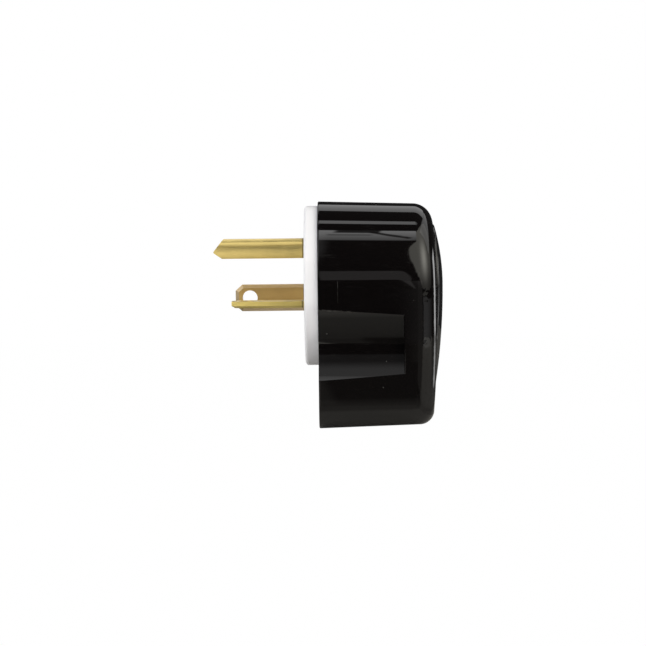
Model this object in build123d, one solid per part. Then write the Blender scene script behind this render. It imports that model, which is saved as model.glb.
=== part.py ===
from build123d import *
import os
from math import tan, radians

os.makedirs("parts", exist_ok=True)

# Angle plug with straight blades, all in mm.
# X runs along the blades: x = 0 on the mating face, blades to -X, back of the housing to +X.
# Z is up, ground blade on top, cord entry at the bottom. Y is across, z = 0 on the axis of the round face.

# ---- face ----
R_FLANGE = 18.72        # round flange of the face
T_FLANGE = 3.15         # flange in front of the housing
FLANGE_EDGE = 0.7       # rounding of its front edge
R_BOSS = 16.3           # boss inside the housing
X_BOSS = 9.5            # back of the boss, seat of the blade tabs

# ---- housing ----
X_FRONT = T_FLANGE      # front of the housing, flange seats here
X_BACK = 30.2           # fullest point of the bowed back, without the domed panel
Z_FULL = -8.2           # its height
BOW_UP = 900.0          # bow of the back above that point
BOW_DOWN = 260.0        # and below it
R_HOUSING = 19.75       # round top at the front
Z_BOTTOM = -32.05       # neck end at the front
R_CORNER = 5.7          # bottom corners
DRAFT = 1.75            # degrees, narrowing to the back
R_BACK_EDGE = 4.6       # rounding between the walls and the back
R_BACK_FOOT = 3.3       # the same at the neck end
FRONT_EDGE = 0.3
PANEL_INSET = 4.75      # domed panel, inside the back edge rounding
X_APEX = 32.27          # top of the dome
DOME_RY = 64.0          # dome radius across
DOME_RZ_UP = 51.5       # dome radius above the face axis
DOME_RZ_DOWN = 150.0    # dome radius below it
PANEL_EDGE = 0.5
R_CAVITY = 16.5
X_CAVITY = 27.0
SCOOP_R = 11.6          # finger scoops
SCOOP_Z = -12.6
SCOOP_X_END = 22.5
SCOOP_DEPTH_FRONT = 3.2
SCOOP_DEPTH_BACK = 2.1
SCOOP_EDGE = 0.25       # rounding of the scoop's end

# ---- neck and cord clamp ----
CORD_X = 16.5           # cord axis
CORD_R = 6.8
NECK_HALF = 14.5        # clamp pocket
NECK_TOP = -19.1
NECK_FLOOR = -28.75
X_POCKET = 26.5
CLAMP_GAP = 0.2
CLAMP_SPLIT = 0.3       # gap at the split plane
RIB_T = 1.6
RIB_Z = (-20.4, -23.9, -27.4)
CLAMP_SCREW_Y = 10.8
CLAMP_SCREW_Z = -23.9
LAND_RELIEF = 0.8       # depth of the grooves between the grip lands

# ---- blades ----
BLADE_W = 6.35
BLADE_T = 1.5
BLADE_L = 16.8
BLADE_Z = -3.1          # mid line of the upright blade
BLADE_Y = 6.35          # its distance from the middle plane
FLAT_Y = -9.12          # mid line of the flat blade
FLAT_Z = -3.75
TIP_CUT_L = 1.55        # corner cuts of the blade tips
TIP_CUT_W = 1.4
COIN_FACE = 0.8         # coined bevel, on the flat
COIN_EDGE = 0.5         # and on the edge
HOLE_R = 1.8
HOLE_X = -13.35
GROUND_Z = 8.8
GROUND_W = 4.75
GROUND_T = 1.05
GROUND_L = 21.45
GROUND_LEG = 2.25       # legs below the axis
GROUND_CURL = 0.42      # legs curl in by this at their feet
GROUND_GAP = 2.2        # slot between the feet
GROUND_COLLAR = 0.45    # full section starts this far in front of the face
CREASE = 0.12           # depth of the crease along each side
CREASE_Z_TIP = 0.53     # its height above the axis, at the tip
CREASE_Z_BASE = 0.95    # and at the face
NOSE_SOLID = 3.0        # closed nose
NOSE_Z = -0.75          # height of the point
NOSE_UP = 1.29          # slopes of the nose
NOSE_DOWN = 0.69
SLOT_CLEAR = 0.12
TAB_T = 1.5

# ---- retainer and terminals ----
X_RETAINER = 15.5
R_RETAINER = 16.1
RETAINER_FLAT = -12.2
TERMINAL_R = 2.05       # terminal screw
TERMINAL_HEAD_R = 2.7
TERMINAL_HEAD_H = 2.2
PLATE = 6.2
PLATE_T = 1.0
LINE_X_TERMINAL = (-9.0, -7.6)
LINE_Y_TERMINAL = (10.9, -3.1)
GROUND_TERMINAL = (0.0, 3.1)

# ---- assembly screws ----
SCREW_R = 1.72
SCREW_HEAD_R = 2.75
SCREW_HEAD_H = 2.3
ASSEMBLY_YZ = ((-12.7, 4.8), (12.7, 4.8))
COLUMN_R = 3.3
X_COLUMN = 15.6
INSERT_R = 2.4
INSERT_L = 6.0


def yz(x, sketch, length, taper=0.0):
    """A YZ sketch at x, extruded to +X."""
    return extrude(Plane.YZ.offset(x) * sketch, length, taper=taper)


def box(x0, x1, y0, y1, z0, z1):
    return Pos((x0 + x1) / 2, (y0 + y1) / 2, (z0 + z1) / 2) * Box(x1 - x0, y1 - y0, z1 - z0)


def rod(x0, x1, y, z, r):
    """A cylinder along X."""
    return yz(x0, Pos(y, z) * Circle(r), x1 - x0)


def post(z0, z1, x, y, r):
    """A cylinder along Z."""
    return Pos(x, y, (z0 + z1) / 2) * Cylinder(r, z1 - z0)


def tombstone(r, z_bottom, r_corner):
    """Round top, straight sides, rounded bottom corners. Local x is Y and local y is Z."""
    line = Polyline((r, 0), (r, z_bottom), (-r, z_bottom), (-r, 0))
    arc = ThreePointArc((-r, 0), (0, r), (r, 0))
    face = make_face([*line.edges(), *arc.edges()])
    corners = face.vertices().sort_by(Axis.Y)[:2]
    return fillet(corners, r_corner)


def one(shape):
    """The single solid of a result."""
    solids = shape.solids()
    assert len(solids) == 1, len(solids)
    return solids[0]


# ------------------------------------------------------------------ housing
depth = X_BACK - X_FRONT


def back_x(z):
    return X_BACK - (z - Z_FULL) ** 2 / (2 * (BOW_UP if z > Z_FULL else BOW_DOWN))


z_top, z_low = 26.0, -52.0
bow = Spline([(back_x(z), 0, z) for z in (z_top, 14.0, 3.0, Z_FULL, -18.0, -27.0, -36.0, z_low)])
frame_line = Polyline((back_x(z_low), 0, z_low), (0, 0, z_low), (0, 0, z_top), (back_x(z_top), 0, z_top))
side_view = Pos(0, 40, 0) * extrude(make_face([*bow.edges(), *frame_line.edges()]), 80, dir=(0, -1, 0))


def bowed(z_bottom, r_edge):
    """Drafted body with the bowed back, its back edge rounded all round."""
    body = yz(X_FRONT, tombstone(R_HOUSING, z_bottom, R_CORNER), depth + 1.5, DRAFT) & side_view
    back = body.faces().sort_by(Axis.X)[-1]
    return fillet(back.edges(), r_edge)


# the rounding is tighter at the neck end: a body with the tight rounding, trimmed by a longer one with the wide rounding
shell = bowed(Z_BOTTOM, R_BACK_FOOT) & bowed(Z_BOTTOM - 14.0, R_BACK_EDGE)
front_edges = shell.edges().filter_by_position(Axis.X, X_FRONT - 0.01, X_FRONT + 0.01)
shell = fillet(front_edges, FRONT_EDGE)

# domed back panel: a barrel cut to the panel outline
shrink = depth * tan(radians(DRAFT))
panel_r = R_HOUSING - shrink - PANEL_INSET
panel_bottom = Z_BOTTOM + shrink + PANEL_INSET
x_axis = X_APEX - DOME_RY


def arc_x(z):
    rz = DOME_RZ_UP if z > 0 else DOME_RZ_DOWN
    return X_APEX - rz + (rz * rz - z * z) ** 0.5


z_up, z_down = 24.0, -38.0
dome_line = [
    ThreePointArc((X_APEX, 0, 0), (arc_x(z_up / 2), 0, z_up / 2), (arc_x(z_up), 0, z_up)),
    Line((arc_x(z_up), 0, z_up), (x_axis, 0, z_up)),
    Line((x_axis, 0, z_up), (x_axis, 0, z_down)),
    Line((x_axis, 0, z_down), (arc_x(z_down), 0, z_down)),
    ThreePointArc((arc_x(z_down), 0, z_down), (arc_x(z_down / 2), 0, z_down / 2), (X_APEX, 0, 0)),
]
barrel = revolve(make_face([e for c in dome_line for e in c.edges()]), Axis((x_axis, 0, 0), (0, 0, 1)))
panel = yz(X_BACK - 5.0, tombstone(panel_r, panel_bottom, 1.6), 12.0) & barrel
rim = panel.edges().filter_by(lambda e: e.bounding_box().min.X > X_BACK - 4.99 and abs((e % 0.5).X) < 0.9)
outer_rim = [e for e in rim if abs(e.center().Y) > 1.0 or e.center().Z > panel_r - 1.0 or e.center().Z < panel_bottom + 1.0]
panel = fillet(ShapeList(outer_rim), PANEL_EDGE)
housing = shell + panel

# finger scoops, open to the front and drafted the other way
for side in (-1, 1):
    wall_front = R_HOUSING
    wall_back = R_HOUSING - (SCOOP_X_END - X_FRONT) * tan(radians(DRAFT))
    c_front = wall_front - SCOOP_DEPTH_FRONT + SCOOP_R
    c_back = wall_back - SCOOP_DEPTH_BACK + SCOOP_R
    slope = (c_back - c_front) / (SCOOP_X_END - X_FRONT)
    start = (X_FRONT - 4.0, side * (c_front - 4.0 * slope), SCOOP_Z)
    axis = Vector(1.0, side * slope, 0)
    tool = extrude(Plane(origin=start, z_dir=axis) * Circle(SCOOP_R), 60.0)
    tool = tool & box(X_FRONT - 5.0, SCOOP_X_END, -60, 60, -60, 60)
    housing = housing - tool
    end = housing.edges().filter_by_position(Axis.X, SCOOP_X_END - 0.01, SCOOP_X_END + 0.01)
    end = end.filter_by(lambda e: e.center().Y * side > 18.0 and e.length > 10.0)
    housing = fillet(end.group_by(Axis.Y)[-1 if side > 0 else 0], SCOOP_EDGE)

# round mouth and wiring chamber
housing = housing - rod(X_FRONT - 1, X_CAVITY, 0, 0, R_CAVITY)
# columns for the assembly screws
for y, z in ASSEMBLY_YZ:
    column = rod(X_COLUMN, X_CAVITY + 0.5, y, z, COLUMN_R) & rod(X_COLUMN, X_CAVITY + 0.5, 0, 0, R_CAVITY + 0.6)
    housing = housing + column
    housing = housing - rod(X_COLUMN - 1, X_COLUMN + INSERT_L + 0.4, y, z, INSERT_R)
# clamp pocket with ribs and two bosses
housing = housing - box(X_FRONT - 1, X_POCKET, -NECK_HALF, NECK_HALF, NECK_FLOOR, NECK_TOP)
for z in RIB_Z:
    housing = housing + box(CORD_X, X_POCKET + 0.5, -NECK_HALF - 0.5, NECK_HALF + 0.5, z - RIB_T / 2, z + RIB_T / 2)
for side in (-1, 1):
    housing = housing + rod(CORD_X, X_POCKET + 0.5, side * CLAMP_SCREW_Y, CLAMP_SCREW_Z, COLUMN_R)
    housing = housing - rod(CORD_X - 1, CORD_X + INSERT_L + 0.4, side * CLAMP_SCREW_Y, CLAMP_SCREW_Z, INSERT_R)
# cord bore, from the neck end into the chamber
housing = housing - post(Z_BOTTOM - 2, -12.0, CORD_X, 0, CORD_R)
housing = one(housing)

# ------------------------------------------------------------------ face
flange = rod(0, T_FLANGE, 0, 0, R_FLANGE)
flange = fillet(flange.edges().filter_by_position(Axis.X, -0.01, 0.01), FLANGE_EDGE)
flange = fillet(flange.edges().filter_by_position(Axis.X, T_FLANGE - 0.01, T_FLANGE + 0.01), 0.15)
face = flange + rod(T_FLANGE - 0.5, X_BOSS, 0, 0, R_BOSS)
half = BLADE_W / 2 + SLOT_CLEAR
thin = BLADE_T / 2 + SLOT_CLEAR
face = face - box(-1, X_BOSS + 1, FLAT_Y - half, FLAT_Y + half, FLAT_Z - thin, FLAT_Z + thin)
face = face - box(-1, X_BOSS + 1, BLADE_Y - thin, BLADE_Y + thin, BLADE_Z - half, BLADE_Z + half)


def u_outline(grow):
    r = GROUND_W / 2 + grow
    low = -GROUND_LEG - grow
    return Pos(0, GROUND_Z) * (Circle(r) + Pos(0, low / 2) * Rectangle(2 * r, -low) - Pos(0, low - 5) * Rectangle(20, 10))


face = face - yz(-1, u_outline(SLOT_CLEAR), X_BOSS + 2)
for y, z in ASSEMBLY_YZ:
    face = face - rod(-1, X_BOSS + 1, y, z, SCREW_R + 0.23)
    face = face - rod(-1, SCREW_HEAD_H + 0.6, y, z, SCREW_HEAD_R + 0.25)
for y, z in (LINE_X_TERMINAL, LINE_Y_TERMINAL, GROUND_TERMINAL):
    face = face - rod(4.4, X_BOSS + 1, y, z, TERMINAL_R + 0.25)
face = one(face)

# ------------------------------------------------------------------ blades


def strip(side):
    """Blade along -X in the XY plane, centred on y = 0 and z = 0. Its edges are coined on one flat: 1 the upper, -1 the lower."""
    w, t = BLADE_W / 2, BLADE_T / 2
    outline = make_face(Polyline(
        (4.0, -w), (4.0, w), (-BLADE_L + TIP_CUT_L, w), (-BLADE_L, w - TIP_CUT_W),
        (-BLADE_L, -w + TIP_CUT_W), (-BLADE_L + TIP_CUT_L, -w), close=True))
    blade = extrude(Plane.XY.offset(-t) * outline, BLADE_T)
    flat = blade.faces().sort_by(Axis.Z)[0 if side < 0 else -1]
    edges = [e for e in flat.edges() if e.center().X < 3.9]
    blade = chamfer(ShapeList(edges), COIN_FACE, COIN_EDGE, reference=flat)
    blade = blade & box(-30, -0.4, -10, 10, -5, 5)
    plain = box(-0.4, X_BOSS + TAB_T, -w, w, -t, t)
    blade = blade + plain
    return blade - post(-5, 5, HOLE_X, 0, HOLE_R)


def rounded_tab(tab, r, pick):
    return fillet(ShapeList([e for e in tab.edges().filter_by(Axis.X) if pick(e.center())]), r)


line_blade_x = Pos(0, FLAT_Y, FLAT_Z) * strip(-1)
tab = box(X_BOSS, X_BOSS + TAB_T, FLAT_Y - BLADE_W / 2, FLAT_Y + BLADE_W / 2, -10.4, FLAT_Z + BLADE_T / 2)
tab = rounded_tab(tab, 1.6, lambda c: c.Z < -9)
line_blade_x = line_blade_x + tab
bend = [e for e in line_blade_x.edges().filter_by(Axis.Y) if e.center().X > X_BOSS + TAB_T - 0.01 and e.center().Z > FLAT_Z + BLADE_T / 2 - 0.01]
line_blade_x = fillet(ShapeList(bend), 1.2)
line_blade_x = one(line_blade_x - rod(X_BOSS - 1, X_BOSS + TAB_T + 1, *LINE_X_TERMINAL, TERMINAL_R + 0.03))

line_blade_y = Pos(0, BLADE_Y, BLADE_Z) * Rot(90, 0, 0) * strip(1)
tab = box(X_BOSS, X_BOSS + TAB_T, BLADE_Y - BLADE_T / 2, 14.0, BLADE_Z - BLADE_W / 2, BLADE_Z + BLADE_W / 2)
tab = rounded_tab(tab, 1.6, lambda c: c.Y > 13)
line_blade_y = line_blade_y + tab
bend = [e for e in line_blade_y.edges().filter_by(Axis.Z) if e.center().X > X_BOSS + TAB_T - 0.01 and e.center().Y < BLADE_Y - BLADE_T / 2 + 0.01]
line_blade_y = fillet(ShapeList(bend), 1.2)
line_blade_y = one(line_blade_y - rod(X_BOSS - 1, X_BOSS + TAB_T + 1, *LINE_Y_TERMINAL, TERMINAL_R + 0.03))

# ground blade: folded U, round side up, with a slanting crease along each side, legs that curl in, and a closed pointed nose


def curled_outline():
    """Section below the crease, a little narrower, its sides curling in to the feet."""
    r = GROUND_W / 2 - CREASE
    mid, foot = r - 0.09, r - GROUND_CURL
    low = -GROUND_LEG
    curves = [
        ThreePointArc((r, 0), (0, r), (-r, 0)),
        ThreePointArc((-r, 0), (-mid, low / 2), (-foot, low)),
        Line((-foot, low), (foot, low)),
        ThreePointArc((foot, low), (mid, low / 2), (r, 0)),
    ]
    return Pos(0, GROUND_Z) * make_face([e for c in curves for e in c.edges()])


def crease_z(x):
    return GROUND_Z + CREASE_Z_TIP + (CREASE_Z_BASE - CREASE_Z_TIP) * (x + GROUND_L) / GROUND_L


above = Polyline((-30, 0, crease_z(-30)), (5, 0, crease_z(5)), (5, 0, 30), (-30, 0, 30), close=True)
crown = yz(-GROUND_L, u_outline(0), GROUND_L - GROUND_COLLAR) & extrude(make_face(above), 20, both=True)
ground_blade = crown + yz(-GROUND_L, curled_outline(), GROUND_L) + yz(-GROUND_COLLAR, u_outline(0), X_BOSS + GROUND_COLLAR)
hollow = Pos(0, GROUND_Z) * (Circle(GROUND_W / 2 - GROUND_T) + Pos(0, -3) * Rectangle(GROUND_GAP, 6))
ground_blade = ground_blade - yz(-GROUND_L + NOSE_SOLID, hollow, GROUND_L - NOSE_SOLID + X_BOSS)
nose_z = GROUND_Z + NOSE_Z
nose_side = Polyline((-GROUND_L, 0, nose_z + 0.12), (-GROUND_L + 3.0, 0, nose_z + 0.12 + 3.0 * NOSE_UP), (20, 0, nose_z + 0.12 + 3.0 * NOSE_UP),
                     (20, 0, nose_z - 3.0), (-GROUND_L + 2.88 / NOSE_DOWN, 0, nose_z - 3.0), (-GROUND_L, 0, nose_z - 0.12), close=True)
ground_blade = ground_blade & extrude(make_face(nose_side), 20, both=True)
nose_plan = Polyline((-GROUND_L, -1.75, 0), (-GROUND_L + 0.6, -3, 0), (20, -3, 0), (20, 3, 0), (-GROUND_L + 0.6, 3, 0), (-GROUND_L, 1.75, 0), close=True)
ground_blade = ground_blade & extrude(make_face(nose_plan), 40, both=True)
tab = box(X_BOSS, X_BOSS + TAB_T, -3.2, 3.2, -0.6, 7.9)
tab = rounded_tab(tab, 1.6, lambda c: c.Z < 0)
tab = tab + yz(X_BOSS, u_outline(0), TAB_T)
ground_blade = ground_blade + tab
ground_blade = one(ground_blade - rod(X_BOSS - 1, X_BOSS + TAB_T + 1, *GROUND_TERMINAL, TERMINAL_R + 0.03))

# ------------------------------------------------------------------ retainer
retainer = rod(X_BOSS, X_RETAINER, 0, 0, R_RETAINER) - box(0, 40, -30, 30, -40, RETAINER_FLAT)
x_tab = X_BOSS + TAB_T
gap = 0.15
# seats of the three tabs
retainer = retainer - box(X_BOSS - 1, x_tab, FLAT_Y - BLADE_W / 2 - gap, FLAT_Y + BLADE_W / 2 + gap, -10.4 - gap, FLAT_Z + BLADE_T / 2 + gap)
retainer = retainer - box(X_BOSS - 1, x_tab, BLADE_Y - BLADE_T / 2 - gap, 14.0 + gap, BLADE_Z - BLADE_W / 2 - gap, BLADE_Z + BLADE_W / 2 + gap)
retainer = retainer - box(X_BOSS - 1, x_tab, -3.2 - gap, 3.2 + gap, -0.6 - gap, 7.9 + gap)
retainer = retainer - yz(X_BOSS - 1, u_outline(gap), TAB_T + 1)
# windows over the terminals, the line ones open at the rim for the wires
retainer = retainer - box(x_tab - 0.01, X_RETAINER + 1, -20, -5.6, -13.0, -4.4)
retainer = retainer - box(x_tab - 0.01, X_RETAINER + 1, 7.6, 20, -6.5, 0.4)
retainer = retainer - box(x_tab - 0.01, X_RETAINER + 1, -3.7, 3.7, -1.1, 6.6)
for y, z in ASSEMBLY_YZ:
    retainer = retainer - rod(X_BOSS - 1, X_RETAINER + 1, y, z, SCREW_R + 0.23)
retainer = one(retainer)

# ------------------------------------------------------------------ screws, plates, inserts


def screw(x_head, head_r, head_h, r, x_end, y, z, slot_w=0.9, to_back=True):
    """Slotted screw along X. x_head is the seat of the head. The head is to +X of the seat if to_back."""
    d = 1 if to_back else -1
    x_top = x_head + d * head_h
    head = rod(min(x_head, x_top), max(x_head, x_top), y, z, head_r)
    head = fillet(head.edges().filter_by_position(Axis.X, x_top - 0.01, x_top + 0.01), 0.5)
    s = head + rod(min(x_head, x_end), max(x_head, x_end), y, z, r)
    end_edges = s.edges().filter_by_position(Axis.X, x_end - 0.01, x_end + 0.01)
    s = chamfer(end_edges, 0.35)
    x_slot = x_top - d * 1.1
    s = s - box(min(x_top + d, x_slot), max(x_top + d, x_slot), y - 5, y + 5, z - slot_w / 2, z + slot_w / 2)
    s = s - box(min(x_top + d, x_slot), max(x_top + d, x_slot), y - slot_w / 2, y + slot_w / 2, z - 1.6, z + 1.6)
    return s


x_seat = x_tab + PLATE_T
line_x_screw = one(screw(x_seat, TERMINAL_HEAD_R, TERMINAL_HEAD_H, TERMINAL_R, 5.2, *LINE_X_TERMINAL))
line_y_screw = one(screw(x_seat, TERMINAL_HEAD_R, TERMINAL_HEAD_H, TERMINAL_R, 5.2, *LINE_Y_TERMINAL))
ground_screw = one(screw(x_seat, TERMINAL_HEAD_R, TERMINAL_HEAD_H, TERMINAL_R, 5.2, *GROUND_TERMINAL))


def wire_plate(y, z):
    plate = box(x_tab, x_seat, y - PLATE / 2, y + PLATE / 2, z - PLATE / 2, z + PLATE / 2)
    plate = fillet(plate.edges().filter_by(Axis.X), 1.0)
    return one(plate - rod(x_tab - 1, x_seat + 1, y, z, TERMINAL_R + 0.1))


line_x_wire_plate = wire_plate(*LINE_X_TERMINAL)
line_y_wire_plate = wire_plate(*LINE_Y_TERMINAL)
ground_wire_plate = wire_plate(*GROUND_TERMINAL)

x_head = SCREW_HEAD_H + 0.6
assembly_screws = Compound([one(screw(x_head, SCREW_HEAD_R, SCREW_HEAD_H, SCREW_R, 21.0, y, z, to_back=False)) for y, z in ASSEMBLY_YZ])


def insert(x, y, z):
    ring = rod(x, x + INSERT_L, y, z, INSERT_R) - rod(x - 1, x + INSERT_L + 1, y, z, SCREW_R + 0.04)
    return one(ring)


assembly_inserts = Compound([insert(X_COLUMN, y, z) for y, z in ASSEMBLY_YZ])

# cord clamp block with its two screws and inserts
x_split = CORD_X - CLAMP_SPLIT
cord_clamp = box(X_FRONT, x_split, -NECK_HALF + CLAMP_GAP, NECK_HALF - CLAMP_GAP, NECK_FLOOR + CLAMP_GAP, NECK_TOP - CLAMP_GAP)
cord_clamp = fillet(cord_clamp.edges().filter_by(Axis.X), 0.4)
cord_clamp = cord_clamp - post(NECK_FLOOR - 1, NECK_TOP + 1, CORD_X, 0, CORD_R)
for z0, z1 in zip(RIB_Z[1:], RIB_Z[:-1]):
    cord_clamp = cord_clamp - post(z0 + RIB_T / 2, z1 - RIB_T / 2, CORD_X, 0, CORD_R + LAND_RELIEF)
clamp_head = X_FRONT + 2.9
for side in (-1, 1):
    y = side * CLAMP_SCREW_Y
    cord_clamp = cord_clamp - rod(X_FRONT - 1, x_split + 1, y, CLAMP_SCREW_Z, SCREW_R + 0.23)
    cord_clamp = cord_clamp - rod(X_FRONT - 1, clamp_head, y, CLAMP_SCREW_Z, SCREW_HEAD_R + 0.25)
cord_clamp = one(cord_clamp)
clamp_yz = [(side * CLAMP_SCREW_Y, CLAMP_SCREW_Z) for side in (-1, 1)]
cord_clamp_screws = Compound([one(screw(clamp_head, SCREW_HEAD_R, SCREW_HEAD_H, SCREW_R, 22.0, y, z, to_back=False)) for y, z in clamp_yz])
cord_clamp_inserts = Compound([insert(CORD_X, y, z) for y, z in clamp_yz])

# ------------------------------------------------------------------ files
parts = {
    "housing": housing,
    "face": face,
    "line_blade_x": line_blade_x,
    "line_blade_y": line_blade_y,
    "ground_blade": ground_blade,
    "blade_retainer": retainer,
    "line_x_screw": line_x_screw,
    "line_y_screw": line_y_screw,
    "ground_screw": ground_screw,
    "line_x_wire_plate": line_x_wire_plate,
    "line_y_wire_plate": line_y_wire_plate,
    "ground_wire_plate": ground_wire_plate,
    "assembly_screws": assembly_screws,
    "assembly_inserts": assembly_inserts,
    "cord_clamp": cord_clamp,
    "cord_clamp_screws": cord_clamp_screws,
    "cord_clamp_inserts": cord_clamp_inserts,
}
for name, shape in parts.items():
    export_step(shape, f"parts/{name}.step")
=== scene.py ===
import bpy
import math
from mathutils import Matrix, Vector


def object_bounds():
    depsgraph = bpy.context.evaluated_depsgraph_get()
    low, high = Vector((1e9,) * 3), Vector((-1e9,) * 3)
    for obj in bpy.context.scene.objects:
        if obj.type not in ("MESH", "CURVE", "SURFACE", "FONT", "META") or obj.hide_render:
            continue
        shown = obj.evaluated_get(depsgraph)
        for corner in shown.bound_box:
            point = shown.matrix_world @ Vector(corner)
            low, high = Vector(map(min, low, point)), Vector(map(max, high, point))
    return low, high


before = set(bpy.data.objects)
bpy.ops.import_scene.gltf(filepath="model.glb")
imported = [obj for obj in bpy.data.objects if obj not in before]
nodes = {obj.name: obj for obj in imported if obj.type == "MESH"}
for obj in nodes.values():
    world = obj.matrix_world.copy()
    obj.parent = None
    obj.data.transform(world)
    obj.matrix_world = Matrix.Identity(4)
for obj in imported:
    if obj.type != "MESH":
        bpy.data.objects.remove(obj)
cad_low, cad_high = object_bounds()
scene = bpy.context.scene


# ---------------------------------------------------------------- camera
def make_camera():
    a, e, roll = (math.radians(v) for v in (0.58, 4.0, 0.65))
    distance, px_per_m = 0.420, 4236.0
    back = Vector((math.sin(a) * math.cos(e), -math.cos(a) * math.cos(e), math.sin(e)))
    right = Vector((math.cos(a), math.sin(a), 0.0))
    up = back.cross(right)
    r = math.cos(roll) * right - math.sin(roll) * up
    u = math.cos(roll) * up + math.sin(roll) * right
    data = bpy.data.cameras.new("camera")
    data.sensor_width = 36.0
    data.lens = 36.0 * px_per_m * distance / 646.0
    data.clip_start, data.clip_end = 0.01, 20.0
    data.dof.use_dof = False
    cam = bpy.data.objects.new("camera", data)
    scene.collection.objects.link(cam)
    at = Vector((0.00407, 0.0, -0.00889)) + back * distance
    m = Matrix((r, u, back)).transposed().to_4x4()
    m.translation = at
    cam.matrix_world = m
    scene.camera = cam


make_camera()
scene.view_settings.view_transform = "Standard"
scene.view_settings.look = "None"


# ---------------------------------------------------------------- node helpers
class Tree:
    """Shorthand for building a node tree."""

    def link(self, a, b):
        self.nt.links.new(a, b)

    def node(self, kind, **props):
        n = self.nt.nodes.new(kind)
        for k, v in props.items():
            setattr(n, k, v)
        return n

    def math(self, op, a, b=None, clamp=False):
        n = self.node("ShaderNodeMath", operation=op, use_clamp=clamp)
        for socket, v in zip(n.inputs, (a, b)):
            if v is None:
                continue
            if isinstance(v, (int, float)):
                socket.default_value = v
            else:
                self.link(v, socket)
        return n.outputs[0]

    def product(self, first, *rest):
        for v in rest:
            first = self.math("MULTIPLY", first, v)
        return first

    def ramp(self, value, low, high, to_low=0.0, to_high=1.0, smooth=False):
        n = self.node("ShaderNodeMapRange", interpolation_type="SMOOTHSTEP" if smooth else "LINEAR")
        n.clamp = True
        for key, v in (("From Min", low), ("From Max", high), ("To Min", to_low), ("To Max", to_high)):
            n.inputs[key].default_value = v
        self.link(value, n.inputs["Value"])
        return n.outputs[0]

    def bell(self, value, centre, spread):
        d = self.math("DIVIDE", self.math("SUBTRACT", value, centre), spread)
        return self.math("EXPONENT", self.math("MULTIPLY", self.math("MULTIPLY", d, d), -0.5))

    def between(self, value, low, high, soft):
        """1 inside low to high, falling to 0 over soft outside."""
        return self.math("MULTIPLY", self.ramp(value, low - soft, low, 0.0, 1.0, True), self.ramp(value, high, high + soft, 1.0, 0.0, True))


class Mat(Tree):
    """Node tree of a material around one principled shader."""

    def __init__(self, name, **values):
        self.mat = bpy.data.materials.new(name)
        self.mat.use_nodes = True
        self.nt = self.mat.node_tree
        self.nt.nodes.clear()
        self.out = self.node("ShaderNodeOutputMaterial")
        self.bsdf = self.node("ShaderNodeBsdfPrincipled")
        self.link(self.bsdf.outputs[0], self.out.inputs["Surface"])
        for key, value in values.items():
            self.bsdf.inputs[key.replace("_", " ")].default_value = value
        self.pos = self.node("ShaderNodeTexCoord").outputs["Object"]

    def mapped(self, scale=(1, 1, 1), rotation=(0, 0, 0), place=(0, 0, 0)):
        n = self.node("ShaderNodeMapping")
        n.inputs["Location"].default_value = place
        n.inputs["Rotation"].default_value = rotation
        n.inputs["Scale"].default_value = scale
        self.link(self.pos, n.inputs["Vector"])
        return n.outputs[0]

    def noise(self, scale, detail=2.0, rough=0.5, vector=None, distortion=0.0):
        n = self.node("ShaderNodeTexNoise")
        n.inputs["Scale"].default_value = scale
        n.inputs["Detail"].default_value = detail
        n.inputs["Roughness"].default_value = rough
        n.inputs["Distortion"].default_value = distortion
        self.link(vector or self.pos, n.inputs["Vector"])
        return n.outputs["Fac"]

    def voronoi(self, scale, feature="F1", vector=None, randomness=1.0):
        n = self.node("ShaderNodeTexVoronoi", feature=feature)
        n.inputs["Scale"].default_value = scale
        n.inputs["Randomness"].default_value = randomness
        self.link(vector or self.pos, n.inputs["Vector"])
        return n.outputs["Distance"]

    def mix(self, fac, a, b):
        n = self.node("ShaderNodeMix", data_type="RGBA")
        for socket, v in ((n.inputs[0], fac), (n.inputs[6], a), (n.inputs[7], b)):
            if isinstance(v, (int, float)):
                socket.default_value = v
            elif isinstance(v, (tuple, list)):
                socket.default_value = (*v, 1.0)
            else:
                self.link(v, socket)
        return n.outputs[2]

    def bump(self, height, strength, distance, normal=None):
        n = self.node("ShaderNodeBump")
        n.inputs["Strength"].default_value = strength
        n.inputs["Distance"].default_value = distance
        self.link(height, n.inputs["Height"])
        if normal is not None:
            self.link(normal, n.inputs["Normal"])
        return n.outputs[0]

    def xyz(self):
        n = self.node("ShaderNodeSeparateXYZ")
        self.link(self.pos, n.inputs[0])
        return n.outputs

    def set(self, key, value):
        self.link(value, self.bsdf.inputs[key])


# ---------------------------------------------------------------- materials
def wear_and_edge_glint(m):
    """Wear on the housing's -Y side: an upright scratch, a chip, and lighter nicks along the scoop's upper edge,
    the nicks partly chips and partly a painted highlight on that edge.
    """
    x, y, z = m.xyz()
    scratch = m.product(m.between(x, 0.00758, 0.00768, 0.00009), m.between(z, -0.0029, 0.0016, 0.0003), m.ramp(z, -0.0018, 0.0013, 0.4, 1.0), m.ramp(m.noise(1500.0, 1.0), 0.35, 0.55, 0.25, 1.0), 0.34)
    chip = m.product(m.between(x, 0.01763, 0.01779, 0.00008), m.between(z, -0.02233, -0.02219, 0.00008), 0.7)
    edge = m.math("ADD", z, m.ramp(x, 0.00315, 0.02315, 0.00460, 0.00586))
    # Lighter marks along the scoop's upper edge: partly chips, partly a painted highlight where the edge catches
    # light.
    nicks_and_painted_glint = m.product(m.between(x, 0.0034, 0.0105, 0.001), m.between(edge, -0.00016, 0.00010, 0.00008), m.ramp(m.noise(900.0, 1.0), 0.42, 0.55), m.ramp(x, 0.004, 0.011, 0.5, 0.25))
    total = scratch
    for part in (chip, nicks_and_painted_glint):
        total = m.math("MAXIMUM", total, part)
    return m.math("MULTIPLY", total, m.ramp(y, -0.0150, -0.0130, 1.0, 0.0))


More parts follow.
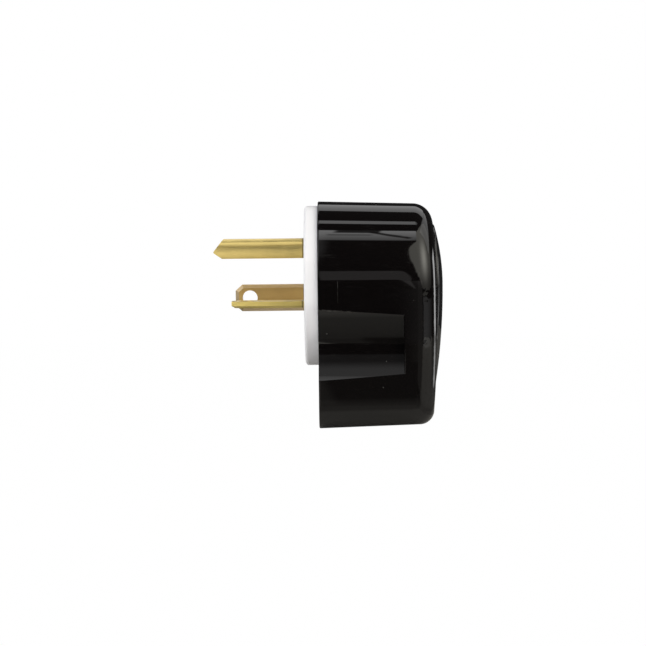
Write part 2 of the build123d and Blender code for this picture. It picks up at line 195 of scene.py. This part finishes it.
def black_plastic():
    """Glossy moulded thermoset: slight waviness, fine scratches, dust and a few marks of wear, with a painted
    highlight along the scoop's upper edge.
    """
    m = Mat("housing_black", IOR=1.5)
    wave = m.noise(90.0, 1.0, 0.4)
    fine = m.noise(2600.0, 2.0, 0.6)
    drift = m.noise(420.0, 2.0, 0.5, m.mapped((0.12, 1.0, 7.0), (0.0, 0.5, 0.3)))
    line = m.math("ABSOLUTE", m.math("SUBTRACT", drift, 0.5))
    patch = m.ramp(m.noise(120.0, 1.0), 0.52, 0.66)
    scratch = m.math("MULTIPLY", m.ramp(line, 0.0, 0.008, 1.0, 0.0), patch)
    chance = m.ramp(m.noise(210.0, 0.0), 0.58, 0.63)
    dust = m.math("MULTIPLY", m.ramp(m.voronoi(420.0), 0.035, 0.075, 1.0, 0.0), chance)
    colour = m.mix(m.ramp(fine, 0.35, 0.7), (0.0031, 0.0024, 0.0025), (0.0043, 0.0033, 0.0035))
    colour = m.mix(m.math("MULTIPLY", scratch, 0.10), colour, (0.10, 0.10, 0.10))
    colour = m.mix(m.math("MULTIPLY", dust, 0.40), colour, (0.25, 0.25, 0.245))
    wear_and_glint = wear_and_edge_glint(m)
    # Mixes in the wear marks and the painted edge highlight as a lighter grey.
    colour = m.mix(wear_and_glint, colour, (0.10, 0.098, 0.095))
    m.set("Base Color", colour)
    rough = m.ramp(m.noise(260.0, 3.0, 0.6), 0.3, 0.75, 0.012, 0.024)
    rough = m.math("ADD", rough, m.math("MULTIPLY", scratch, 0.25))
    rough = m.math("ADD", rough, m.math("MULTIPLY", wear_and_glint, 0.4))
    rough = m.math("ADD", rough, m.math("MULTIPLY", dust, 0.5), clamp=True)
    m.set("Roughness", rough)
    n = m.bump(wave, 0.010, 0.0006)
    n = m.bump(fine, 0.0015, 0.00004, n)
    still = m.node("ShaderNodeMix", data_type="VECTOR")
    m.link(m.ramp(m.xyz()[0], 0.0272, 0.0288), still.inputs[0])
    m.link(n, still.inputs[4])
    m.link(m.node("ShaderNodeNewGeometry").outputs["Normal"], still.inputs[5])
    n = still.outputs[1]
    m.set("Normal", n)
    return m.mat


def white_nylon():
    """Satin moulded white, faintly cool, with a fine moulded grain."""
    m = Mat("face_white", IOR=1.49)
    fine = m.noise(3200.0, 3.0, 0.6)
    blotch = m.noise(160.0, 2.0, 0.5)
    m.set("Base Color", m.mix(m.ramp(blotch, 0.3, 0.7), (0.900, 0.895, 0.932), (0.850, 0.845, 0.882)))
    m.set("Roughness", m.ramp(fine, 0.3, 0.7, 0.32, 0.46))
    m.set("Normal", m.bump(fine, 0.05, 0.00005))
    return m.mat


def brass(name, along_x=True, tint=(0.86, 0.655, 0.275), dark=(0.56, 0.41, 0.155), rough=(0.275, 0.325), base_painted_shade=True, bevel_sheen_tint=None):
    """Stamped brass: drawn grain, slight tarnish, and painted shade as a dark line where it enters the face. A
    bevel tint, when given, paints a paler sheen on the bevel faces and a darker painted shade on the faces turned
    towards the tip.
    """
    m = Mat(name, Metallic=1.0)
    stretch = (0.05, 1.0, 1.0) if along_x else (1.0, 1.0, 1.0)
    grain = m.noise(5200.0, 3.0, 0.6, m.mapped(stretch))
    fine = m.noise(9000.0, 2.0, 0.6, m.mapped(stretch))
    tarnish = m.noise(240.0, 4.0, 0.6)
    colour = m.mix(m.ramp(tarnish, 0.35, 0.80, 0.0, 0.45), tint, dark)
    colour = m.mix(m.ramp(grain, 0.35, 0.75, 0.0, 0.20), colour, dark)
    # Colour by face normal: the bevel faces get a paler tint, a painted sheen, and the faces turned towards the tip
    # a darker copy, painted shade.
    if bevel_sheen_tint is not None:
        split = m.node("ShaderNodeSeparateXYZ")
        m.link(m.node("ShaderNodeNewGeometry").outputs["Normal"], split.inputs[0])
        shade = m.mix(m.ramp(split.outputs[0], -0.35, -0.10, 1.0, 0.0), bevel_sheen_tint, tuple(0.62 * c for c in bevel_sheen_tint))
        colour = m.mix(m.ramp(m.math("ABSOLUTE", split.outputs[1]), 0.90, 0.97, 0.85, 0.0), colour, shade)
    # Painted shade: a dark band across the blade just in front of the face, where the blade enters it.
    if base_painted_shade:
        x = m.xyz()[0]
        near = m.between(x, -0.00055, -0.00025, 0.00015)
        colour = m.mix(m.math("MULTIPLY", near, 0.75), colour, (0.12, 0.085, 0.04))
    m.set("Base Color", colour)
    m.set("Roughness", m.ramp(m.noise(700.0, 3.0, 0.6, m.mapped(stretch)), 0.3, 0.7, *rough))
    n = m.bump(grain, 0.10, 0.00004)
    n = m.bump(fine, 0.05, 0.00002, n)
    m.set("Normal", n)
    return m.mat


def plated(name, colour, dark, rough, metallic=1.0):
    """Plated steel: fine turning marks and dull spots."""
    m = Mat(name, Metallic=metallic)
    spots = m.noise(900.0, 4.0, 0.65)
    fine = m.noise(8000.0, 2.0, 0.6)
    m.set("Base Color", m.mix(m.ramp(spots, 0.4, 0.75, 0.0, 0.7), colour, dark))
    m.set("Roughness", m.ramp(m.noise(1500.0, 3.0, 0.6), 0.3, 0.7, *rough))
    m.set("Normal", m.bump(fine, 0.08, 0.00003))
    return m.mat


def matt_insulator():
    m = Mat("insulator", IOR=1.5)
    grain = m.noise(1800.0, 4.0, 0.65)
    m.set("Base Color", m.mix(m.ramp(grain, 0.3, 0.7), (0.030, 0.030, 0.033), (0.055, 0.054, 0.056)))
    m.set("Roughness", m.ramp(grain, 0.3, 0.7, 0.48, 0.68))
    m.set("Normal", m.bump(grain, 0.15, 0.00006))
    return m.mat


black = black_plastic()
finish_of = {
    "housing": black,
    "cord_clamp": black,
    "face": white_nylon(),
    "line_blade_x": brass("blade_brass_flat", tint=(0.86, 0.68, 0.22), dark=(0.56, 0.43, 0.13)),
    # The upright blade's brass is a darker copy of the blade brass: painted shade on the blade seen flat on.
    "line_blade_y": brass("blade_brass_upright_shaded", tint=(0.55, 0.367, 0.137), dark=(0.415, 0.275, 0.102), rough=(0.30, 0.42), bevel_sheen_tint=(0.76, 0.60, 0.38)),
    "ground_blade": brass("blade_brass_ground", tint=(0.77, 0.60, 0.222), dark=(0.50, 0.38, 0.13)),
    "blade_retainer": matt_insulator(),
}
screw_brass = brass("terminal_screw", along_x=False, tint=(0.82, 0.62, 0.29), rough=(0.22, 0.34), base_painted_shade=False)
plate = plated("wire_plate", (0.62, 0.62, 0.60), (0.45, 0.45, 0.44), (0.28, 0.42))
nickel = plated("plated_screw", (0.68, 0.67, 0.64), (0.50, 0.49, 0.47), (0.20, 0.34))
green = plated("ground_green", (0.03, 0.27, 0.11), (0.02, 0.16, 0.06), (0.25, 0.40), metallic=0.6)
turned = brass("insert_brass", along_x=False, tint=(0.82, 0.62, 0.29), rough=(0.26, 0.40), base_painted_shade=False)
for name in ("line_x_screw", "line_y_screw"):
    finish_of[name] = screw_brass
for name in ("line_x_wire_plate", "line_y_wire_plate", "ground_wire_plate"):
    finish_of[name] = plate
for name in ("assembly_screws", "cord_clamp_screws"):
    finish_of[name] = nickel
for name in ("assembly_inserts", "cord_clamp_inserts"):
    finish_of[name] = turned
finish_of["ground_screw"] = green

for name, obj in nodes.items():
    obj.data.materials.clear()
    obj.data.materials.append(finish_of[name])


# ---------------------------------------------------------------- floor and world
class Plain(Tree):
    def __init__(self, nt):
        self.nt = nt
        nt.nodes.clear()

    def mixed(self, fac, a, b):
        n = self.node("ShaderNodeMixShader")
        if isinstance(fac, float):
            n.inputs[0].default_value = fac
        else:
            self.link(fac, n.inputs[0])
        self.link(a, n.inputs[1])
        self.link(b, n.inputs[2])
        return n.outputs[0]


def make_floor():
    """White floor. The part sees a white sheet just under it, and a dark floor further out. The sheet is painted
    light: its albedo is painted in bands and patches in place of light falling there, brighter still just under the
    part where its shadow falls.
    """
    z = cad_low.z - 0.00002
    n, radius = 96, 0.26
    verts = [(0.005, 0.0, z)] + [(0.005 + radius * math.cos(2 * math.pi * i / n), radius * math.sin(2 * math.pi * i / n), z) for i in range(n)]
    faces = [(0, i + 1, (i + 1) % n + 1) for i in range(n)]
    mesh = bpy.data.meshes.new("floor")
    mesh.from_pydata(verts, [], faces)
    obj = bpy.data.objects.new("floor", mesh)
    scene.collection.objects.link(obj)
    mat = bpy.data.materials.new("floor")
    mat.use_nodes = True
    t = Plain(mat.node_tree)
    out = t.node("ShaderNodeOutputMaterial")
    split = t.node("ShaderNodeSeparateXYZ")
    t.link(t.node("ShaderNodeTexCoord").outputs["Object"], split.inputs[0])
    x, y = split.outputs[0], split.outputs[1]
    # Painted light: the sheet's albedo, brighter just under the part where its shadow falls, with bands to the
    # right and left and a patch in front.
    near = t.math("ADD", t.ramp(y, -0.085, -0.070, 0.05, 0.363), t.ramp(y, -0.070, -0.030, 0.0, 0.227))
    near = t.math("ADD", near, t.ramp(y, -0.0295, -0.0245, 0.0, 0.54))
    sheet = t.product(t.between(x, 0.000, 0.036, 0.016), near, t.ramp(y, 0.040, 0.090, 1.0, 0.0))

    def line(k, c):
        return t.math("ADD", t.math("MULTIPLY", y, k), c)

    edge = t.math("MAXIMUM", line(-0.1034, 0.02175), line(0.06, 0.05296))
    right = t.ramp(t.math("SUBTRACT", x, edge), -0.001, 0.005, 0.0, 0.28)
    right = t.math("ADD", right, t.ramp(t.math("SUBTRACT", x, t.math("MAXIMUM", line(-0.64, 0.00872), 0.036)), -0.008, 0.012, 0.0, 0.70, True))
    sheet = t.math("ADD", sheet, t.math("MULTIPLY", right, t.ramp(y, -0.03, 0.02, 1.0, 0.2)))
    sheet = t.math("ADD", sheet, t.product(t.between(x, -0.002, 0.0080, 0.004), t.between(y, -0.170, -0.078, 0.010), 0.22))
    left = t.math("ADD", t.product(t.between(y, -0.210, -0.045, 0.010), 1.6), t.product(t.between(y, -0.035, 0.040, 0.010), 0.8))
    sheet = t.math("ADD", sheet, t.math("MULTIPLY", t.between(x, -0.075, -0.006, 0.004), left))
    bounce = t.node("ShaderNodeBsdfDiffuse")
    warm = t.node("ShaderNodeVectorMath", operation="SCALE")
    warm.inputs[0].default_value = (1.0, 0.98, 0.94)
    t.link(t.ramp(sheet, 0.0, 1.6, 0.03, 0.78), warm.inputs["Scale"])
    t.link(warm.outputs[0], bounce.inputs["Color"])
    pale = t.node("ShaderNodeBsdfDiffuse")
    pale.inputs["Color"].default_value = (0.8, 0.8, 0.8, 1.0)
    lift = t.node("ShaderNodeEmission")
    lift.inputs["Color"].default_value = (1.0, 1.0, 1.0, 1.0)
    lift.inputs["Strength"].default_value = 1.0
    seen = t.mixed(0.995, pale.outputs[0], lift.outputs[0])
    paths = t.node("ShaderNodeLightPath")
    t.link(t.mixed(paths.outputs["Is Camera Ray"], bounce.outputs[0], seen), out.inputs["Surface"])
    mesh.materials.append(mat)
    return obj


def make_world():
    world = bpy.data.worlds.new("studio")
    scene.world = world
    world.use_nodes = True
    t = Plain(world.node_tree)
    out = t.node("ShaderNodeOutputWorld")
    shades = []
    for strength in (0.022, 1.0):
        b = t.node("ShaderNodeBackground")
        b.inputs["Color"].default_value = (1.0, 1.0, 1.0, 1.0)
        b.inputs["Strength"].default_value = strength
        shades.append(b.outputs[0])
    paths = t.node("ShaderNodeLightPath")
    t.link(t.mixed(paths.outputs["Is Camera Ray"], *shades), out.inputs["Surface"])


floor = make_floor()
make_world()


# ---------------------------------------------------------------- studio lights
AIM = Vector((0.018, -0.012, 0.0))
ACROSS, DEEP, UP = Vector((1, 0, 0)), Vector((0, 1, 0)), Vector((0, 0, 1))


def direction(az, el):
    """Unit vector: az 0 is towards the camera, 90 to +X, 180 behind the part."""
    a, e = math.radians(az), math.radians(el)
    return Vector((math.sin(a) * math.cos(e), -math.cos(a) * math.cos(e), math.sin(e)))


class Glow(Tree):
    """Radiance of one softbox over its own face, u and v in metres."""

    def __init__(self, data, u0, v0, width, height):
        data.use_nodes = True
        self.nt = data.node_tree
        self.nt.nodes.clear()
        out = self.node("ShaderNodeOutputLight")
        self.em = self.node("ShaderNodeEmission")
        self.link(self.em.outputs[0], out.inputs["Surface"])
        split = self.node("ShaderNodeSeparateXYZ")
        self.link(self.node("ShaderNodeNewGeometry").outputs["Parametric"], split.inputs[0])
        self.u = self.ramp(split.outputs[0], 0.0, 1.0, u0, u0 + width)
        self.v = self.ramp(split.outputs[1], 0.0, 1.0, v0, v0 + height)


def lit_group(name, objects):
    """A collection for the lights that light only some pieces."""
    group = bpy.data.collections.new(name)
    for obj in objects:
        group.objects.link(obj)
    return group


pale = [obj for name, obj in nodes.items() if name not in ("housing", "cord_clamp")] + [floor]
bright_pieces = lit_group("bright_pieces", pale)
metal_pieces = lit_group("metal_pieces", [obj for obj in pale if obj is not nodes["face"]])
face_only = lit_group("face_only", [nodes["face"]])


def softbox(name, origin, across, up, u0, u1, v0, v1, radiance, only=None):
    """A rectangle on the plane through origin, u along across and v along up. radiance is a number, or a function of its Glow. only is the collection it lights."""
    across, up = across.normalized(), up.normalized()
    data = bpy.data.lights.new(name, "AREA")
    data.shape = "RECTANGLE"
    data.size, data.size_y = u1 - u0, v1 - v0
    data.energy = math.pi * data.size * data.size_y
    glow = Glow(data, u0, v0, u1 - u0, v1 - v0)
    if callable(radiance):
        glow.link(radiance(glow), glow.em.inputs["Strength"])
    else:
        glow.em.inputs["Strength"].default_value = radiance
    obj = bpy.data.objects.new(name, data)
    scene.collection.objects.link(obj)
    m = Matrix((across, up, across.cross(up))).transposed().to_4x4()
    m.translation = origin + across * ((u0 + u1) / 2) + up * ((v0 + v1) / 2)
    obj.matrix_world = m
    obj.visible_camera = False
    if only is not None:
        obj.light_linking.receiver_collection = only


def facing(name, az, el, distance, u0, u1, v0, v1, radiance, only=None):
    """A softbox square on to a direction, its edges given as slopes."""
    d = direction(az, el)
    side = UP.cross(d).normalized()
    k = distance
    softbox(name, AIM + d * k, side, d.cross(side), u0 * k, u1 * k, v0 * k, v1 * k, radiance, only)


def ceiling(name, x0, x1, y0, y1, radiance, height=0.6):
    softbox(name, Vector((0, 0, height)), ACROSS, DEEP, x0, x1, y0, y1, radiance)


def overhead(name, theta0, theta1, x0, x1, distance, radiance):
    """A strip along X, between two angles measured from the camera side over the top. x0 and x1 are slopes."""
    t = math.radians((theta0 + theta1) / 2)
    d = Vector((0.0, -math.cos(t), math.sin(t)))
    h = distance * math.tan(math.radians(abs(theta1 - theta0) / 2))
    softbox(name, AIM + d * distance, ACROSS, Vector((0.0, math.sin(t), math.cos(t))), x0 * distance, x1 * distance, -h, h, radiance)


def key_glow(g):
    """A leaning softbox with a hot middle, weaker to the right and to the bottom."""
    g.em.inputs["Color"].default_value = (1.0, 0.98, 0.88, 1.0)
    u, v = g.math("DIVIDE", g.u, 0.6), g.math("DIVIDE", g.v, 0.6)
    lean = g.math("MULTIPLY", v, 0.1264)
    for c in (0.0085, 0.5371):
        lean = g.math("MULTIPLY", g.math("ADD", lean, c), v)
    left = g.ramp(g.math("SUBTRACT", u, lean), -0.7937, -0.7918, 0.0, 1.0, True)
    low_left = g.ramp(g.math("ADD", u, g.math("MULTIPLY", v, 0.92)), -1.06, -0.90, 0.0, 1.0, True)
    low = g.ramp(v, -0.68, -0.08, 0.35, 1.0, True)
    fall = g.ramp(u, 0.15, 0.70, 1.0, 0.60, True)
    shifted = g.math("SUBTRACT", u, g.ramp(v, 0.0, 0.4, 0.0, 0.25, True))
    right = g.ramp(shifted, 0.80, 1.02, 1.0, 0.15, True)
    side = g.math("MULTIPLY", g.ramp(u, 0.30, 0.62, 0.0, 1.0, True), g.ramp(v, 0.02, 0.25, 0.0, 1.0, True))
    right = g.math("MULTIPLY", right, g.ramp(side, 0.0, 1.0, 1.0, 0.62))
    high = g.ramp(v, 0.55, 0.80, 1.0, 1.05, True)
    base = g.math("MULTIPLY", g.product(left, low_left, low, fall, right, high), 1.28)
    core = g.math("MULTIPLY", g.math("MULTIPLY", g.bell(u, 0.05, 0.19), g.bell(v, 0.03, 0.25)), 3.1)
    return g.math("ADD", base, core)


def ridge_glow(g):
    """The strip above the front of the part: brightest at its far edge, crossed by a slanting bar."""
    x, y = g.u, g.v
    level = g.ramp(y, -0.262, -0.095, 1.05, 2.75)
    edges = g.math("MULTIPLY", g.ramp(y, -0.276, -0.256, 0.0, 1.0, True), g.ramp(y, -0.088, -0.076, 1.0, 0.0, True))
    edges = g.math("MULTIPLY", edges, g.ramp(x, 0.078, 0.100, 1.0, 0.0, True))
    gap = g.math("MULTIPLY", g.between(x, 0.036, 0.057, 0.003), g.ramp(y, -0.132, -0.118, 0.0, 1.0, True))
    line = g.math("ABSOLUTE", g.math("SUBTRACT", y, g.ramp(x, 0.052, 0.078, -0.105, -0.216)))
    bar = g.math("MULTIPLY", g.ramp(line, 0.009, 0.024, 1.0, 0.0, True), g.between(x, 0.055, 0.078, 0.004))
    dip = g.math("MULTIPLY", g.between(x, 0.033, 0.054, 0.004), g.between(y, -0.172, -0.156, 0.010))
    for shade, amount in ((gap, 0.94), (bar, 0.90), (dip, 0.45)):
        edges = g.math("MULTIPLY", edges, g.ramp(shade, 0.0, 1.0, 1.0, 1.0 - amount))
    return g.product(level, edges, g.ramp(x, 0.000, 0.025, 0.28, 1.0, True))


def strip_glow(g):
    return g.ramp(g.u, 0.080, 0.150, 1.55, 0.30, True)


def bar_glow(g):
    """A slanting softbox above the right, from the strip's end to the back one."""
    x, y = g.u, g.v
    inner = g.math("MINIMUM", g.math("ADD", g.math("MULTIPLY", y, 0.30), 0.270), 0.42)
    outer = g.math("SUBTRACT", 1.26, g.math("MULTIPLY", y, 0.85))
    left = g.ramp(g.math("SUBTRACT", x, inner), -0.015, 0.030, 0.0, 1.0, True)
    right = g.ramp(g.math("SUBTRACT", outer, x), -0.04, 0.06, 0.0, 1.0, True)
    return g.math("MULTIPLY", g.math("MULTIPLY", left, right), 0.87)


def left_glow(g):
    """Over the left: strong at the far left, weak near the middle and towards the front."""
    u, v = g.u, g.v
    level = g.math("MULTIPLY", g.ramp(v, -0.255, 0.0, 0.11, 0.55, True), g.ramp(v, -0.470, -0.400, 0.0, 1.0, True))
    near = g.ramp(u, 0.003, 0.019, 1.0, 0.0, True)
    far = g.ramp(u, -0.080, -0.045, 2.3, 1.0, True)
    return g.product(level, near, far)


def front_glow(g):
    """A low strip in front, drooping at its right end."""
    g.em.inputs["Color"].default_value = (1.0, 0.955, 0.945, 1.0)
    u, v = g.u, g.v
    bend = g.ramp(u, 0.0570, 0.0660)
    fallen = g.math("ADD", v, g.product(bend, bend, 0.12))
    low = g.ramp(fallen, -0.068, -0.060, 0.0, 1.0, True)
    top = g.ramp(fallen, 0.060, 0.068, 1.0, 0.0, True)
    return g.math("MULTIPLY", g.math("MULTIPLY", low, top), 0.35)


def right_glow(g):
    """A pale wall to the right of the camera, with a soft left edge that leans right at the bottom."""
    g.em.inputs["Color"].default_value = (1.0, 0.96, 0.91, 1.0)
    u, v = g.u, g.v
    leaning = g.math("SUBTRACT", u, g.ramp(v, -0.135, -0.085, 0.030, 0.0, True))
    return g.product(g.ramp(v, -0.05, 0.07, 0.14, 0.30), g.ramp(leaning, -0.136, -0.112, 0.0, 1.0, True))


def rim_glow(g):
    """A narrow upright strip, with a dark joint near its lower end."""
    v = g.v
    joint = g.ramp(g.bell(v, -0.0168, 0.0015), 0.0, 1.0, 1.0, 0.35)
    soft = g.math("MULTIPLY", g.between(g.u, -0.0123, 0.0026, 0.004), g.between(v, -0.0295, 0.0195, 0.004))
    return g.product(joint, soft, g.ramp(v, -0.020, -0.015, 1.9, 3.1, True))


facing("key", 50.0, 32.0, 0.60, -0.95, 1.20, -0.69, 1.02, key_glow)
ceiling("ridge", -0.25, 0.102, -0.278, -0.075, ridge_glow)
ceiling("strip", -0.22, 0.15, 0.050, 0.115, strip_glow)
ceiling("back", -0.28, 0.42, 0.42, 0.97, 0.90)
ceiling("bar", 0.25, 1.20, -0.06, 0.85, bar_glow)
turn = math.radians(15.75)
softbox("front_low", AIM + 0.6 * Vector((0, -math.cos(turn), math.sin(turn))), ACROSS, Vector((0, math.sin(turn), math.cos(turn))), 0.015, 0.066, -0.20, 0.068, front_glow)
facing("front_right", 18.0, 1.0, 0.60, -0.265, 0.25, -0.24, 0.12, right_glow)
turn = math.radians(53.0)
softbox("left_upper", AIM + 0.6 * Vector((0, -math.cos(turn), math.sin(turn))), ACROSS, Vector((0, math.sin(turn), math.cos(turn))), -0.80, 0.024, -0.470, 0.293, left_glow)
facing("left", -65.0, 15.0, 0.60, -0.45, 0.45, -0.58, 0.58, 0.62, bright_pieces)
facing("left_back", -108.0, 10.0, 0.60, -0.40, 0.40, -0.20, 0.32, 2.6, bright_pieces)
facing("left_front", -36.0, 4.0, 0.60, -0.33, 0.33, -0.12, 0.22, 4.2, metal_pieces)
facing("face_front", -36.0, 4.0, 0.60, -0.33, 0.33, -0.12, 0.22, 2.4, face_only)
softbox("face_low", Vector((0.0, -0.100, 0.0)), ACROSS, UP, -0.050, 0.030, -0.0315, -0.014, 3.2, face_only)
softbox("blade_front", Vector((0.0, -0.150, 0.0)), ACROSS, UP, -0.052, -0.013, -0.030, 0.000, 1.00, bright_pieces)
softbox("blade_back", Vector((0.0, 0.065, 0.0)), -ACROSS, UP, 0.004, 0.045, 0.010, 0.046, 0.90, bright_pieces)
softbox("blade_top", Vector((0.0, 0.0, 0.110)), ACROSS, DEEP, -0.045, -0.006, 0.018, 0.110, 0.85, bright_pieces)
softbox("blade_low", Vector((0.0, 0.0, -0.0305)), ACROSS, -DEEP, -0.050, -0.010, 0.060, 0.135, 0.30, bright_pieces)
facing("right_low", 64.5, 0.0, 0.20, -0.52, 0.52, -0.160, -0.061, lambda g: g.ramp(g.u, -0.023, 0.100, 0.43, 0.07))
rim = direction(127.0, 0.0)
softbox("rim", Vector((0.0298, -0.0155, 0.0)) + rim * 0.06, UP.cross(rim), UP, -0.0163, 0.0066, -0.0335, 0.0235, rim_glow)
